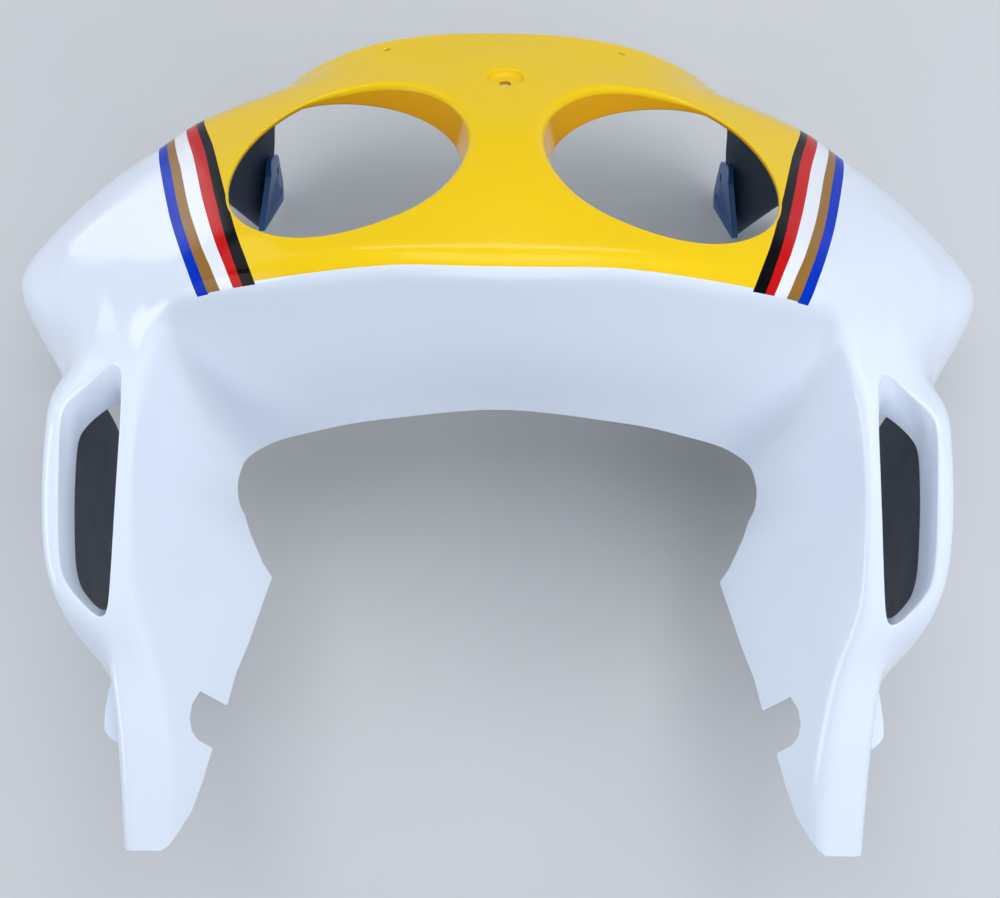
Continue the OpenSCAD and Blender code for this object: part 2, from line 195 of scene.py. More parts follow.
def at(grid, u, v):
    """Value of a grid at column u and row v, with its two slopes."""
    u, v = np.clip(u, 0, NC - 1e-6), np.clip(v, 0, NV - 1e-6)
    i, j = u.astype(int), v.astype(int)
    f, g = (u - i)[:, None], (v - j)[:, None]
    a, b, c, d = grid[i, j], grid[i + 1, j], grid[i, j + 1], grid[i + 1, j + 1]
    return ((1 - f) * (1 - g) * a + f * (1 - g) * b + (1 - f) * g * c + f * g * d,
            (1 - g) * (b - a) + g * (d - c), (1 - f) * (c - a) + f * (d - b))


def on_skin(uv):
    """Points and normals of the skin at some columns and rows."""
    return at(full, *uv)[0], unit(at(normal_grid, *uv)[0])


def find(m, rhs, window):
    """Columns and rows where m @ point = rhs, inside a window of columns and rows."""
    u0, u1, v0, v1 = window
    gu, gv = np.meshgrid(np.arange(u0, u1, 2), np.arange(v0, v1, 2), indexing="ij")
    p = full[gu, gv].reshape(-1, 3)
    gu, gv = gu.ravel(), gv.ravel()
    u, v = np.empty(len(m)), np.empty(len(m))
    for k in range(len(m)):
        e = p @ m[k].T - rhs[k]
        best = (e * e).sum(1).argmin()
        u[k], v[k] = gu[best], gv[best]
    for _ in range(25):
        s, su, sv = at(full, u, v)
        e = np.einsum("nij,nj->ni", m, s) - rhs
        a, b = np.einsum("nij,nj->ni", m, su), np.einsum("nij,nj->ni", m, sv)
        det = a[:, 0] * b[:, 1] - a[:, 1] * b[:, 0]
        det = np.where(abs(det) < 1e-9, 1e-9, det)
        x = (e[:, 0] * b[:, 1] - e[:, 1] * b[:, 0]) / det
        y = (a[:, 0] * e[:, 1] - a[:, 1] * e[:, 0]) / det
        u, v = np.clip(u - np.clip(x, -2, 2), 0, NC), np.clip(v - np.clip(y, -2, 2), 0, NV)
    return u, v


def mirrored(uv):
    return NC - uv[0], uv[1]


# Round seat of the nose screw: seat_in points into it, and the frame's origin lies on its axis
SEAT_TILT = math.radians(39)
SEAT_C = np.array([0, 86.0, 133.0])
seat_in = np.array([0, math.cos(SEAT_TILT), -math.sin(SEAT_TILT)])
seat_x, seat_y = np.array([1.0, 0, 0]), np.array([0, math.sin(SEAT_TILT), math.cos(SEAT_TILT)])
ORIGIN = SEAT_C + 5.3 * seat_in


class Piece:
    """Collects faces with a normal at every point; each face is turned to agree with them."""

    def __init__(self, name, material, node, slot=None):
        self.name, self.material, self.node, self.slot = name, material, node, slot
        self.p, self.n, self.f, self.count = [], [], [], 0

    def add(self, points, normals, faces):
        points, normals = np.asarray(points, float), unit(np.asarray(normals, float))
        faces = np.asarray(faces, int)
        if not len(faces):
            return
        a, b, c = points[faces[:, 0]], points[faces[:, 1]], points[faces[:, 2]]
        fn = np.cross(b - a, c - a)
        if faces.shape[1] == 4:
            fn = np.cross(c - a, points[faces[:, 3]] - b)
        wrong = (fn * normals[faces].mean(1)).sum(1) < 0
        faces[wrong] = faces[wrong][:, ::-1]
        self.p.append(points)
        self.n.append(normals)
        self.f += (faces + self.count).tolist()
        self.count += len(points)

    def loft(self, rings, normals=None, towards=None, closed=True):
        """Faces between neighbouring rings (k, n, 3)."""
        rings = np.asarray(rings, float)
        k, n = rings.shape[:2]
        if normals is None:
            normals = loft_normals(rings, towards)
        i, j = np.meshgrid(np.arange(k - 1), np.arange(n if closed else n - 1), indexing="ij")
        i, j = i.ravel(), j.ravel()
        j2 = (j + 1) % n
        self.add(rings.reshape(-1, 3), np.asarray(normals).reshape(-1, 3),
                 np.stack([i * n + j, i * n + j2, (i + 1) * n + j2, (i + 1) * n + j], 1))

    def build(self):
        mesh = bpy.data.meshes.new(self.name)
        points = (np.concatenate(self.p) - ORIGIN) / 1000
        mesh.from_pydata(points.tolist(), [], self.f)
        mesh.polygons.foreach_set("use_smooth", [True] * len(mesh.polygons))
        mesh.update()
        mesh.normals_split_custom_set_from_vertices(np.concatenate(self.n).tolist())
        mesh.materials.append(self.material)
        obj = bpy.data.objects.new(self.name, mesh)
        bpy.context.scene.collection.objects.link(obj)
        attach(obj, "root")
        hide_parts(self.node)


def loft_normals(rings, towards):
    """Normals of closed lofted rings, on the side that the vectors `towards` point to."""
    n = unit(np.cross(np.gradient(rings, axis=0), np.roll(rings, -1, 1) - np.roll(rings, 1, 1)))
    return n * np.where((n * towards).sum(-1, keepdims=True) < 0, -1, 1)


def srgb(*rgb):
    """Linear colour from red, green and blue in 0 to 255."""
    return tuple(((c / 255 + 0.055) / 1.055) ** 2.4 if c > 10 else c / 255 / 12.92 for c in rgb) + (1,)


def paint(name, rgb, rough=0.16, peel=0.012, spec=0.4):
    """Painted or moulded plastic: a plain colour, a faint grain in the roughness and a fine orange peel."""
    mat = bpy.data.materials.new(name)
    mat.use_nodes = True
    nt = mat.node_tree
    bsdf = nt.nodes["Principled BSDF"]
    bsdf.inputs["Base Color"].default_value = srgb(*rgb)
    bsdf.inputs["Specular IOR Level"].default_value = spec
    coords = nt.nodes.new("ShaderNodeTexCoord")
    grain = nt.nodes.new("ShaderNodeTexNoise")
    grain.inputs["Scale"].default_value = 55
    grain.inputs["Detail"].default_value = 3
    grain_range = nt.nodes.new("ShaderNodeMapRange")
    grain_range.inputs["To Min"].default_value = rough * 0.85
    grain_range.inputs["To Max"].default_value = rough * 1.2
    fine = nt.nodes.new("ShaderNodeTexNoise")
    fine.inputs["Scale"].default_value = 420
    bump = nt.nodes.new("ShaderNodeBump")
    bump.inputs["Strength"].default_value = peel
    bump.inputs["Distance"].default_value = 0.002
    nt.links.new(coords.outputs["Object"], grain.inputs["Vector"])
    nt.links.new(coords.outputs["Object"], fine.inputs["Vector"])
    nt.links.new(grain.outputs["Fac"], grain_range.inputs["Value"])
    nt.links.new(grain_range.outputs["Result"], bsdf.inputs["Roughness"])
    nt.links.new(fine.outputs["Fac"], bump.inputs["Height"])
    nt.links.new(bump.outputs["Normal"], bsdf.inputs["Normal"])
    return mat


white = paint("gloss white", (222, 231, 246), spec=0.5)
yellow = paint("gloss yellow", (238, 199, 22), spec=0.15)
# Walls inside the lamp openings and the screw's hole: the same yellow paint, made darker and more orange as
# painted shade of the recesses and of light bouncing between the yellow walls
yellow_painted_shade = paint("yellow with painted shade", (230, 166, 28), spec=0.3)
inside = paint("inside slate", (56, 68, 86), rough=0.5, peel=0.05)
tab_blue = paint("tab blue", (34, 88, 150), rough=0.35)
# From the nose outwards
stripe_paints = {"black": paint("stripe black", (8, 8, 9), spec=0.08),
                 "red": paint("stripe red", (196, 16, 18), spec=0.08),
                 "white": paint("stripe white", (232, 236, 244)),
                 "gold": paint("stripe gold", (148, 108, 48), spec=0.1),
                 "blue": paint("stripe blue", (0, 52, 186), spec=0.05)}


def circle(n):
    """Angles of n points round a circle."""
    return np.linspace(0, 2 * math.pi, n + 1)[:-1]


def on_circle(angles):
    """Points of the unit circle at some angles."""
    return np.stack([np.cos(angles), np.sin(angles)], 1)


def heading(yaw, pitch):
    """Direction turned right by yaw and up by pitch, in degrees, from straight back."""
    yaw, pitch = math.radians(yaw), math.radians(pitch)
    return np.array([math.sin(yaw) * math.cos(pitch), math.cos(yaw) * math.cos(pitch), math.sin(pitch)])


# Lamp openings: cones whose walls taper inwards, one point every two degrees
LAMP_C, LAMP_R, DRAFT = np.array([91, 61.6, 79]), 66.5, math.tan(math.radians(12))
lamp_d = heading(4.4, -27.4)
lamp_1 = unit(np.cross(lamp_d, [0, 0, 1]))
lamp_2 = np.cross(lamp_1, lamp_d)
theta = circle(180)
lamp_e = np.cos(theta)[:, None] * lamp_1 + np.sin(theta)[:, None] * lamp_2
lamp_t = -np.sin(theta)[:, None] * lamp_1 + np.cos(theta)[:, None] * lamp_2
lamp_in = unit(lamp_d - DRAFT * lamp_e)
# Angle 0 points away from the nose. The wall is deep beside the nose, at 158 degrees, and shallow opposite.
SHALLOW, DEEPER = 3.4, 19.5
lamp_depth = SHALLOW + DEEPER * np.maximum(0, np.cos(theta - math.radians(158))) ** 1.15
lamp_fillet = np.minimum(4.2, 0.4 * lamp_depth)


def lamp_ring(grow):
    """Where the skin meets the lamp's cone, made wider by grow."""
    m = np.stack([lamp_e + DRAFT * lamp_d, lamp_t], 1)
    rhs = np.einsum("nij,j->ni", m, LAMP_C) + np.stack([LAMP_R + grow, 0 * grow], 1)
    return find(m, rhs, (HALF - 10, HALF + 110, NI + 4, NV))


lamp_skin = lamp_ring(lamp_fillet)
lamp_edge = lamp_ring(0 * theta)

# Air ducts, in the front view: corners as shares of the opening's width and height, front and back
DUCT_C, DUCT_SIZE = np.array([230.4, -101.2]), np.array([36, 143])
DUCT_FRONT = np.array([[-0.497, 0.4], [-0.461, 0.477], [-0.317, 0.5], [0.294, 0.369], [0.483, 0.302],
                       [0.5, -0.306], [0.308, -0.397], [-0.039, -0.492], [-0.206, -0.497],
                       [-0.289, -0.411]])
DUCT_BACK = np.array([[-0.4, 0.33], [-0.233, 0.369], [0.183, 0.285], [0.392, 0.218], [0.45, -0.02],
                      [0.444, -0.285], [0.35, -0.383], [0.072, -0.464], [-0.108, -0.467],
                      [-0.247, -0.418]])


def rounded(q, cut, times):
    """Closed outline with its corners cut off, first by the share `cut` and then by a quarter."""
    for k in range(times):
        a = cut if k == 0 else 0.25
        q = np.stack([q + (np.roll(q, 1, 0) - q) * a, q + (np.roll(q, -1, 0) - q) * a], 1).reshape(-1, 2)
    return q


def lengths(q):
    """Distance of every point from the first, along the line of points."""
    return np.concatenate([[0], np.cumsum(np.linalg.norm(np.diff(q, axis=0), axis=1))])


def interpolated(t, k, q):
    return np.stack([np.interp(t, k, q[:, c]) for c in (0, 1)], 1)


def resampled(q, n):
    """Points at n equal steps along an open line."""
    k = lengths(q)
    return interpolated(np.arange(n) / (n - 1) * k[-1], k, q)


def both_resampled(a, b, n):
    """The same shares of length of closed outline a, taken on outlines a and b."""
    ea, eb = np.concatenate([a, a[:1]]), np.concatenate([b, b[:1]])
    k = lengths(ea)
    t = np.arange(n) / n * k[-1]
    return interpolated(t, k, ea), interpolated(t, k, eb)


def outward(q, centre):
    """Normals of a closed outline in its plane, away from a point in it."""
    t = np.roll(q, -1, 0) - np.roll(q, 1, 0)
    n = unit(np.stack([t[:, 1], -t[:, 0]], 1))
    return n * np.sign((n * (q - centre)).sum())


def front_ring(q, window):
    """Points of the skin under a front-view outline of half widths and heights."""
    m = np.repeat(np.array([[[1.0, 0, 0], [0, 0, 1]]]), len(q), 0)
    return find(m, q, window)


d_front, d_back = both_resampled(rounded(DUCT_FRONT * DUCT_SIZE, 0.2, 3),
                                 rounded(DUCT_BACK * DUCT_SIZE, 0.2, 3), 170)
out_2 = outward(d_front, 0)
duct_fillet = np.interp(d_front[:, 0], [-15, 8], [1.2, 2.4])
duct_window = (HALF + 130, HALF + 240, NI + NR, NI + NR + 2 * NP + 4)
duct_skin = front_ring(DUCT_C + d_front + out_2 * duct_fillet[:, None], duct_window)
duct_edge = front_ring(DUCT_C + d_front, duct_window)


def axis_ring(centre, a, b, r, angles, window):
    """Where the skin meets a cylinder of radius r, whose axis is square to a and b."""
    m = np.repeat(np.stack([a, b])[None], len(angles), 0)
    rhs = np.stack([centre @ a + r * np.cos(angles), centre @ b + r * np.sin(angles)], 1)
    return find(m, rhs, window)


# The screw's seat: where its rounding starts on the skin, and the corner that it rounds
phi = circle(48)
seat_e = np.cos(phi)[:, None] * seat_x + np.sin(phi)[:, None] * seat_y
seat_window = (HALF - 12, HALF + 13, NI + NR + 3 * NP - 16, NV - 10)
seat_skin = axis_ring(SEAT_C, seat_x, seat_y, 13.6, phi, seat_window)
seat_edge = axis_ring(SEAT_C, seat_x, seat_y, 10.5, phi, seat_window)

# Screen screw holes and side fastener holes
psi = circle(24)
screen_n = np.array([0.277084, -0.777817, 0.564115])
screen_a = unit(np.cross(screen_n, [0, 0, 1]))
screen_b = np.cross(screen_a, screen_n)
screen_hole = axis_ring(np.array([70.1764, 125.908, 166.021]), screen_a, screen_b, 2.6, psi,
                        (HALF + 24, HALF + 50, NV - 20, NV + 1))
side_hole = axis_ring(np.array([222.0, 200, -266]), np.array([0, 1.0, 0]), np.array([0, 0, 1.0]), 3.2, psi,
                      (NC - 60, NC + 1, NI + NR + NP + 4, NV + 1))

# Trim of the leg: its inner edge, notches and foot, then across the leg at the foot's height
trim_2 = resampled(np.array(TRIM), 190)
trim_uv = front_ring(trim_2, (HALF + 155, NC + 1, 0, NI + NR + NP))
# The trim starts at its last crossing with the sheet's own inner edge, which is row 0
off = abs(at(full, *trim_uv)[0][:, [0, 2]] - trim_2).max(1) > 0.02
start = np.flatnonzero(off[:60])[-1] + 1
p0, p1 = trim_2[start - 1], trim_2[start]
row_0 = full[:, 0][:, [0, 2]]
for k in range(HALF + 150, HALF + 260):
    a, b = row_0[k], row_0[k + 1]
    f, g = np.linalg.solve(np.stack([b - a, p0 - p1], 1), p0 - a)
    if 0 <= f <= 1 and -0.5 <= g <= 1:
        first_u = k + f
trim_u, trim_v = np.append(first_u, trim_uv[0][start:]), np.append(0, trim_uv[1][start:])
FOOT_FROM = HALF + 230       # the foot lies beyond this column
foot_v = np.arange(math.ceil(trim_v[-1] + 0.5), NV + 1)
foot_u = []
for v in foot_v:
    z = full[FOOT_FROM:, v, 2]
    k = np.argmax(z < FOOT)
    foot_u.append(FOOT_FROM + k - 1 + (z[k - 1] - FOOT) / (z[k - 1] - z[k]))
trim_u, trim_v = np.append(trim_u, foot_u), np.append(trim_v, foot_v)

# Whole border of the skin, as columns and rows
low_u = np.arange(math.ceil(NC - trim_u[0]) + 1, trim_u[0] - 1, 1.0)
top_u = np.arange(math.ceil(NC - trim_u[-1]) + 1, trim_u[-1] - 1, 1.0)[::-1]
border = (np.concatenate([low_u, trim_u, top_u, NC - trim_u[::-1]]),
          np.concatenate([0 * low_u, trim_v, 0 * top_u + NV, trim_v[::-1]]))

# Stripes: they lie between stations 3 and 4. Their six borders cross that band at these shares of its
# width, at the stripes' foot on the lip and at the shoulder.
BAND = (knots[3], knots[4] - knots[3])
FOOT_ROW, SHOULDER_ROW = 49, 146
AT_FOOT = [-0.04, 0.17, 0.32, 0.53, 0.74, 0.95]
AT_SHOULDER = [0.01, 0.15, 0.41, 0.72, 0.88, 1.03]
# The row where the yellow ends on the lip, at three columns counted from the centre
LIP_ROWS = ([0, 80 / STEP, 160 / STEP], [51, 49.4, 50.3])
LIP_END_ROW = LIP_ROWS[1][-1]


def stripe_col(k, v):
    """Column, counted from the centre, of stripe border k at row v."""
    f = np.clip((v - FOOT_ROW) / (SHOULDER_ROW - FOOT_ROW), 0, 1.2)
    return (BAND[0] + BAND[1] * (AT_FOOT[k] + (AT_SHOULDER[k] - AT_FOOT[k]) * f)) / STEP


lip_u = np.linspace(-stripe_col(0, LIP_END_ROW), stripe_col(0, LIP_END_ROW), 170)
lip_line = (HALF + lip_u, np.interp(abs(lip_u), *LIP_ROWS))
rows_up = np.append(np.arange(FOOT_ROW, NV, 0.8), NV + 0.6)
stripe_lines = [(HALF + stripe_col(k, rows_up), rows_up) for k in range(6)]
foot_cols = np.linspace(stripe_col(0, FOOT_ROW), stripe_col(5, FOOT_ROW), 26)
# The blue stripe starts a little lower than the others
foot_rows = np.where(foot_cols > stripe_col(4, FOOT_ROW) - 0.01, 48.4, 49.0)
stripe_foot = (HALF + foot_cols, foot_rows)


def to_plane(uv):
    """Flat picture of columns and rows, in mm, in which the skin is divided into triangles."""
    past_edge = np.maximum(0, np.asarray(uv[1]) - NV) * 3
    return np.stack([np.asarray(uv[0]) * STEP, np.interp(uv[1], np.arange(NV + 1), row_pos) + past_edge], 1)


def inside_loop(points, loop):
    """Which points lie in a closed loop."""
    lo, hi = loop.min(0), loop.max(0)
    ok = ((points >= lo) & (points <= hi)).all(1)
    q = points[ok]
    odd = np.zeros(len(q), bool)
    for a, b in zip(loop, np.roll(loop, -1, 0)):
        if a[1] != b[1]:
            c = (a[1] > q[:, 1]) != (b[1] > q[:, 1])
            odd ^= c & (q[:, 0] < a[0] + (q[:, 1] - a[1]) * (b[0] - a[0]) / (b[1] - a[1]))
    out = np.zeros(len(points), bool)
    out[ok] = odd
    return out


def in_sheet(points, outline, holes):
    """Which points lie in an outline and in none of its holes."""
    ok = inside_loop(points, outline)
    for q in holes:
        ok &= ~inside_loop(points, q)
    return ok


def add_line(points, edges, q, closed):
    """Adds the points of a line and the edges between them."""
    b, n = len(points), len(q)
    points += q.tolist()
    edges += [(b + k, b + (k + 1) % n) for k in range(n if closed else n - 1)]


def triangulated(points, edges):
    out = delaunay_2d_cdt([Vector(q) for q in points], edges, [], 0, 1e-5)
    return np.array([tuple(q) for q in out[0]]), np.array([f for f in out[2]])


outline, holes = to_plane(border), []
for uv in (lamp_skin, duct_skin, screen_hole, side_hole):
    holes += [to_plane(uv), to_plane(mirrored(uv))]
holes.append(to_plane(seat_skin))
lines = [to_plane(lip_line)]
for uv in stripe_lines + [stripe_foot]:
    lines += [to_plane(uv), to_plane(mirrored(uv))]

points, edges = [], []
for q in [outline] + holes:
    add_line(points, edges, q, closed=True)
for q in lines:
    add_line(points, edges, q, closed=False)
tree = kdtree.KDTree(len(points))
for k, q in enumerate(points):
    tree.insert((q[0], q[1], 0), k)
tree.balance()
# Between the lines: every second column and row, and every row round the ridge
LEAST_GAP = 1.3              # mm from such a point to a line's nearest point
base_v = np.concatenate([np.arange(0, NI - 3, 2), np.arange(NI - 2, NI + NR + 2),
                         np.arange(NI + NR + 2, NV + 1, 2)])
gu, gv = np.meshgrid(np.arange(0, NC + 1, 2), base_v, indexing="ij")
base = to_plane((gu.ravel(), gv.ravel()))
base = base[in_sheet(base, outline, holes)]
base = base[[tree.find((q[0], q[1], 0))[2] > LEAST_GAP for q in base]]
points += base.tolist()
verts, tris = triangulated(points, edges)
mid = verts[tris].mean(1)
keep = in_sheet(mid, outline, holes)
tris, mid = tris[keep], mid[keep]
skin_p, skin_n = on_skin((verts[:, 0] / STEP, np.interp(verts[:, 1], row_pos, np.arange(NV + 1))))
mid_u, mid_v = abs(mid[:, 0] / STEP - HALF), np.interp(mid[:, 1], row_pos, np.arange(NV + 1))

# Zones of colour: 0 for the white, 1 for the yellow field, 2 to 6 for the stripes
zone = np.zeros(len(tris), int)
zone[(mid_u < stripe_col(0, mid_v)) & (mid_v > np.interp(mid_u, *LIP_ROWS))] = 1
over_foot = mid_v > np.interp(mid_u, foot_cols, foot_rows)
for k in range(5):
    zone[(mid_u >= stripe_col(k, mid_v)) & (mid_u < stripe_col(k + 1, mid_v)) & over_foot] = 2 + k

shell = Piece("shell_outside", white, "fairing_shell", "body_white")
back = Piece("shell_inside", inside, "fairing_shell")
top = Piece("nose_yellow", yellow, "yellow_panel", "nose_yellow")
# The lamp walls carry the yellow with painted shade
walls = Piece("lamp_walls", yellow_painted_shade, "fairing_shell", "nose_yellow")
sheet_edges = Piece("sheet_edges", white, "fairing_shell", "body_white")
tabs = Piece("stay_tabs", tab_blue, "fairing_shell")
lugs = Piece("lugs", white, "fairing_shell", "body_white")
stripes = [Piece("stripe_" + colour, material, colour + "_stripes", "stripe_" + colour)
           for colour, material in stripe_paints.items()]


def part_of_skin(piece, faces, side=1):
    """Adds triangles of the skin's outer side, or for side -1 of its inner side."""
    used, inv = np.unique(faces, return_inverse=True)
    faces = inv.reshape(faces.shape)
    if side > 0:
        piece.add(skin_p[used], skin_n[used], faces)
    else:
        piece.add(skin_p[used] - SHEET * skin_n[used], -skin_n[used], faces)


part_of_skin(shell, tris[zone == 0])
part_of_skin(top, tris[zone == 1])
for k in range(5):
    part_of_skin(stripes[k], tris[zone == 2 + k])
part_of_skin(back, tris, -1)

# Rounded edge of the sheet, round its border and in the small holes
EDGE_BULGE = 0.35


def edge_band(uv, hole=False):
    """Rings across the edge of the sheet, and their normals; round a hole they face its middle."""
    p, n = on_skin(uv)
    side = unit(np.cross(unit(np.roll(p, -1, 0) - np.roll(p, 1, 0)), n))
    if hole:
        side *= np.where(((p - p.mean(0)) * side).sum(1, keepdims=True) > 0, -1, 1)
    rings, normals = [], []
    for t in np.linspace(0, math.pi, 7):
        rings.append(p - SHEET / 2 * (1 - math.cos(t)) * n + EDGE_BULGE * math.sin(t) * side)
        normals.append(math.cos(t) * n + math.sin(t) * side)
    return np.stack(rings), np.stack(normals)


def open_runs(mask):
    """Runs of neighbouring true entries, each one entry longer at its end."""
    idx = np.flatnonzero(mask)
    for run in np.split(idx, np.flatnonzero(np.diff(idx) > 1) + 1):
        if len(run):
            yield np.append(run, (run[-1] + 1) % len(mask))


rings, normals = edge_band(border)
in_yellow = (border[1] > NV - 1) & (abs(border[0] - HALF) < stripe_col(0, NV))
for piece, mask in ((top, in_yellow), (sheet_edges, ~in_yellow)):
    for run in open_runs(mask):
        piece.loft(rings[:, run], normals[:, run], closed=False)
for piece, ring in ((top, screen_hole), (sheet_edges, side_hole)):
    for uv in (ring, mirrored(ring)):
        piece.loft(*edge_band(uv, hole=True))

# Walls behind the openings. Of a wall's rings, the first BEND round the opening's edge, the first WALL go
# on to the middle of its round end, and the others come back on its outer side.
BEND, WALL = 9, 15
LAMP_END_R, DUCT_END_R = 1.3, 1.2
THROAT = 22                  # from the duct's face to the end of its throat


def flip(a, side):
    """Points or normals of the right side for side 1, and their mirror image for side -1."""
    return a * [side, 1, 1]


def bend(a, corner, b, n):
    """Rings that go from a to b and round the corner between them."""
    return [(1 - t) ** 2 * a + 2 * t * (1 - t) * corner + t * t * b for t in np.linspace(0, 1, n)]


def wall(skin, edge, end, inwards, out, fillet, end_r, behind):
    """Rings of a wall, and their normals: from the skin round the edge, inwards to the end, round it, and
    back to the sheet's inner face. `behind` says how far out and in the last but one ring is from the edge."""
    p, n = on_skin(skin)
    turn = edge + inwards * fillet[:, None]
    rings = bend(p, edge, turn, BEND)
    rings += [turn + (end - turn) * t for t in (0.33, 0.66, 1)]
    for t in np.linspace(0, math.pi, 7)[1:]:
        rings.append(end + end_r * (1 - math.cos(t)) * out + end_r * math.sin(t) * inwards)
    rings += [edge + behind[0] * out + inwards * behind[1], p - SHEET * n]
    rings = np.stack(rings)
    towards = [n - out] * BEND + [-out] * 3 + [inwards * 2] * 3 + [out + inwards] * 3 + [out] * 2
    normals = loft_normals(rings, np.stack(towards))
    normals[0] = n
    return rings, normals


edge = on_skin(lamp_edge)[0]
end = edge + lamp_in * np.maximum(lamp_depth - LAMP_END_R, lamp_fillet + 0.1)[:, None]
rings, normals = wall(lamp_skin, edge, end, lamp_in, lamp_e, lamp_fillet, LAMP_END_R, (2.6, 3.2))
for side in (1, -1):
    top.loft(flip(rings[:BEND], side), flip(normals[:BEND], side))
    # From the rounded edge in to the round end, the wall takes the yellow with painted shade
    walls.loft(flip(rings[BEND - 1:WALL], side), flip(normals[BEND - 1:WALL], side))
    back.loft(flip(rings[WALL - 1:], side), flip(normals[WALL - 1:], side))

edge = on_skin(duct_edge)[0]
rear_2 = DUCT_C + d_back
face_y = 98.4 - 0.21 * rear_2[:, 1]
end = np.stack([rear_2[:, 0], face_y + THROAT, rear_2[:, 1]], 1)
out_3 = np.stack([out_2[:, 0], 0 * out_2[:, 0], out_2[:, 1]], 1)
rings, normals = wall(duct_skin, edge, end, unit(end - edge), out_3, duct_fillet, DUCT_END_R, (2.4, 3.4))
for side in (1, -1):
    shell.loft(flip(rings[:WALL], side), flip(normals[:WALL], side))
    back.loft(flip(rings[WALL - 1:], side), flip(normals[WALL - 1:], side))

# Seat of the nose screw: a round wall, a soft corner, a floor and the screw's hole in it
SEAT_R, SEAT_DEPTH, SCREW_R, FLOOR = 10, 4, 3.2, 2.6
CORNER_WIDE, CORNER_HIGH = 4, 2.6
p_skin, n_skin = on_skin(seat_skin)
edge = on_skin(seat_edge)[0]
floor_c = SEAT_C + SEAT_DEPTH * seat_in
p_low = floor_c + SEAT_R * seat_e - CORNER_HIGH * seat_in
rings = bend(p_skin, edge, edge * 0.4 + p_low * 0.6, 6) + [p_low]
for t in np.linspace(0, math.pi / 2, 5)[1:]:
    rings.append(floor_c + (SEAT_R - CORNER_WIDE * (1 - math.cos(t))) * seat_e
                 - CORNER_HIGH * (1 - math.sin(t)) * seat_in)
rings += [floor_c + 5 * seat_e, floor_c + 3.6 * seat_e, floor_c + SCREW_R * seat_e + 0.4 * seat_in]
rings = np.stack(rings)
normals = loft_normals(rings, np.stack([n_skin - seat_e] * 6 + [-seat_e - seat_in] * 8))
normals[0] = n_skin
top.loft(rings, normals)
# The screw hole's wall takes the yellow with painted shade as well
walls.loft(np.stack([rings[-1], floor_c + SCREW_R * seat_e + FLOOR * seat_in]), towards=-seat_e[None])
# Its underside, as radius and depth under the floor
UNDER = [(SCREW_R, FLOOR), (12.2, FLOOR), (13.1, 1.7), (13.1, -3.5)]
back.loft(np.stack([floor_c + r * seat_e + z * seat_in for r, z in UNDER]),
          towards=seat_in + seat_e * np.array([0, 0.5, 1, 2])[:, None, None])


def plate(piece, outline, holes, place, side, thick=4, bevel=0.7):
    """Flat plate from a 2-D outline with round holes; place maps (a, b, height) to the frame in mm."""
    def grown(q, grow):
        n = outward(q, q.mean(0))
        return q + n * grow, n

    # Loops of the plate, with 1 for its outline and -1 for a hole
    loops = [(outline, 1)] + [(c + r * on_circle(psi), -1) for c, r in holes]
    rims = [grown(q, -bevel * s)[0] for q, s in loops]
    for height, up in ((thick / 2, 1), (-thick / 2, -1)):
        pts, eds = [], []
        for q in rims:
            add_line(pts, eds, q, closed=True)
        v, f = triangulated(pts, eds)
        ok = in_sheet(v[f].mean(1), rims[0], rims[1:])
        p = np.concatenate([v, np.full((len(v), 1), height)], 1)
        n = np.tile([0.0, 0, up], (len(v), 1))
        piece.add(flip(place(p), side), flip(place(p + n) - place(p), side), f[ok])
    # Across the rim: growth of the loop, height, and the normal's share outwards and up
    rim = [(-bevel * (1 - math.sin(t)), thick / 2 - bevel * (1 - math.cos(t)), math.sin(t), math.cos(t))
           for t in np.linspace(0, math.pi / 2, 4)]
    rim += [(g, -h, a, -b) for g, h, a, b in rim[::-1]]
    for q, s in loops:
        rings, normals = [], []
        for g, h, a, b in rim:
            p2, n2 = grown(q, g * s)
            p = np.concatenate([p2, np.full((len(p2), 1), h)], 1)
            n = np.concatenate([n2 * a * s, np.full((len(p2), 1), b)], 1)
            rings.append(flip(place(p), side))
            normals.append(flip(place(p + n) - place(p), side))
        piece.loft(np.stack(rings), np.stack(normals))


# Stay tabs, whose a and b run back and up from TAB_AT. The outline goes tightly round both holes, the root
# at the horn's edge and the tip; under TAB_BEND the plate bends out.
TAB_AT, TAB_HOLE, TAB_BEND, TAB_SLOPE = np.array([159.0, 290, 140]), 3.1, -9, 0.42
ends = np.array([[-10.0, 4], [10, -4]])
discs, disc_r = np.array([ends[0], ends[1], [-31, -3], [6, -31]]), np.array([11.5, 11.5, 9, 4])
rays = on_circle(circle(72))
far = (rays @ discs.T + disc_r).argmax(1)
tab_outline = discs[far] + disc_r[far][:, None] * rays
# Lugs, in the front view: half width and height
LUG_Y = 188
lug_outline = rounded(np.array([[214, -198], [219, -200], [232, -208], [234.5, -228], [234.5, -239],
                                [228, -246], [214, -246]], float), 0.15, 2)


def tab_place(p):
    bent = TAB_SLOPE * np.maximum(0, TAB_BEND - p[:, 1])
    return np.stack([TAB_AT[0] + p[:, 2] + bent, TAB_AT[1] + p[:, 0], TAB_AT[2] + p[:, 1]], 1)


def lug_place(p):
    return np.stack([p[:, 0], LUG_Y + p[:, 2], p[:, 1]], 1)


for side in (1, -1):
    plate(tabs, tab_outline, [(c, TAB_HOLE) for c in ends], tab_place, side)
    plate(lugs, lug_outline, [], lug_place, side)

for piece in [shell, back, top, walls, sheet_edges, tabs, lugs] + stripes:
    piece.build()

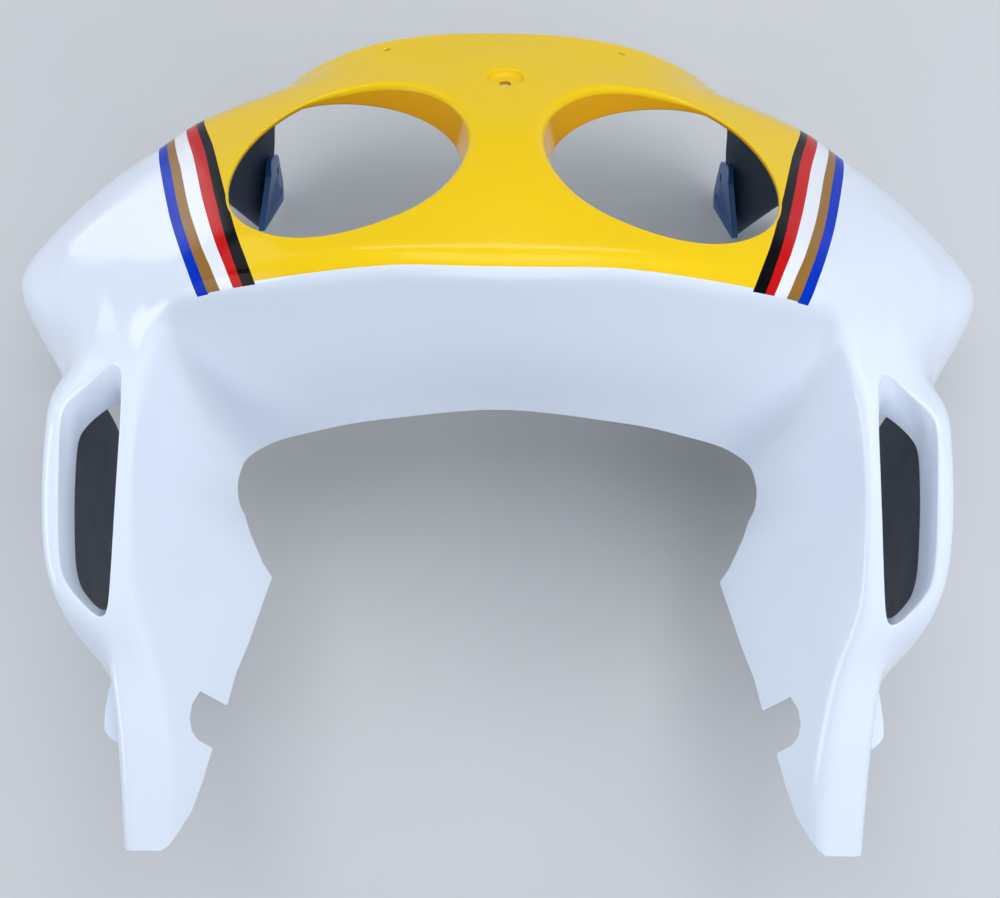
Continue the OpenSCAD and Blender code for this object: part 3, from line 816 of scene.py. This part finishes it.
# Camera, fitted to the photograph
cam_at = (np.array([-12.5, -641, -182]) - ORIGIN) / 1000
fwd, roll = heading(0.914, 8), math.radians(0.608)
level = unit(np.cross(fwd, [0, 0, 1]))
upright = np.cross(level, fwd)
cam_x = level * math.cos(roll) + upright * math.sin(roll)
cam_y = -level * math.sin(roll) + upright * math.cos(roll)


def aimed(obj, location, x, y, z):
    """Puts an object at a place, with its own axes along x, y and z."""
    obj.matrix_world = Matrix([[x[k], y[k], z[k], location[k]] for k in range(3)] + [[0, 0, 0, 1]])


cam = bpy.data.objects.new("camera", bpy.data.cameras.new("camera"))
bpy.context.scene.collection.objects.link(cam)
cam.data.lens = 48.6
cam.data.sensor_width = 36
cam.data.clip_start = 0.05
aimed(cam, cam_at, cam_x, cam_y, -fwd)
bpy.context.scene.camera = cam
bpy.context.scene.view_settings.view_transform = "Standard"

# Pale backdrop behind the part, square to the camera and clear from behind; both sizes in metres
BACKDROP_AHEAD, REACH = 0.996, 4.0
backdrop_mesh = bpy.data.meshes.new("backdrop")
backdrop_mesh.from_pydata([(-REACH, -REACH, 0), (REACH, -REACH, 0), (REACH, REACH, 0), (-REACH, REACH, 0)],
                          [], [(0, 1, 2, 3)])
backdrop = bpy.data.objects.new("backdrop", backdrop_mesh)
bpy.context.scene.collection.objects.link(backdrop)
aimed(backdrop, cam_at + fwd * BACKDROP_AHEAD, cam_x, cam_y, -fwd)
mat = bpy.data.materials.new("backdrop")
mat.use_nodes = True
nt = mat.node_tree
bsdf = nt.nodes["Principled BSDF"]
bsdf.inputs["Base Color"].default_value = srgb(205, 207, 211)
bsdf.inputs["Roughness"].default_value = 0.9
bsdf.inputs["Specular IOR Level"].default_value = 0.1
clear = nt.nodes.new("ShaderNodeBsdfTransparent")
mix = nt.nodes.new("ShaderNodeMixShader")
geo = nt.nodes.new("ShaderNodeNewGeometry")
nt.links.new(geo.outputs["Backfacing"], mix.inputs["Fac"])
nt.links.new(bsdf.outputs["BSDF"], mix.inputs[1])
nt.links.new(clear.outputs["BSDF"], mix.inputs[2])
nt.links.new(mix.outputs["Shader"], nt.nodes["Material Output"].inputs["Surface"])
backdrop_mesh.materials.append(mat)

world = bpy.data.worlds.new("studio")
world.use_nodes = True
world.node_tree.nodes["Background"].inputs["Color"].default_value = (0.78, 0.88, 1.0, 1)
world.node_tree.nodes["Background"].inputs["Strength"].default_value = 0.37
bpy.context.scene.world = world

PART_AHEAD = 0.85            # metres from the camera to the middle of the part


def area(name, right_mm, up_mm, ahead_mm, width, height, watts, glossy=True, diffuse=True):
    """Area lamp placed in the camera's terms, facing the middle of the part."""
    light = bpy.data.lights.new(name, "AREA")
    light.shape = "RECTANGLE"
    light.size, light.size_y, light.energy = width, height, watts
    obj = bpy.data.objects.new(name, light)
    bpy.context.scene.collection.objects.link(obj)
    at_m = cam_at + (cam_x * right_mm + cam_y * up_mm + fwd * ahead_mm) / 1000
    z = unit(at_m - (cam_at + fwd * PART_AHEAD))
    x = unit(np.cross(cam_y, z))
    aimed(obj, at_m, x, np.cross(z, x), z)
    obj.visible_glossy, obj.visible_diffuse = glossy, diffuse


area("front", 0, 600, -500, 1.2, 1.0, 12.1)
area("right low", 1400, -500, 0, 0.8, 1.0, 8.3, glossy=False)
area("left", -1500, -300, 300, 0.6, 1.0, 6)
area("right", 700, 300, -500, 1.0, 1.0, 3.3)
area("low", 0, -1300, 100, 1.0, 0.8, 2.2)
area("window", -1500, 950, 450, 0.5, 0.9, 2)
# Two lamps that are seen only as reflections: along the lip, and on the fold of the left cheek
area("lip strip", 0, 1240, 200, 1.6, 0.1, 6, diffuse=False)
area("cheek strip", -480, 360, 930, 0.22, 0.16, 0.14, diffuse=False)
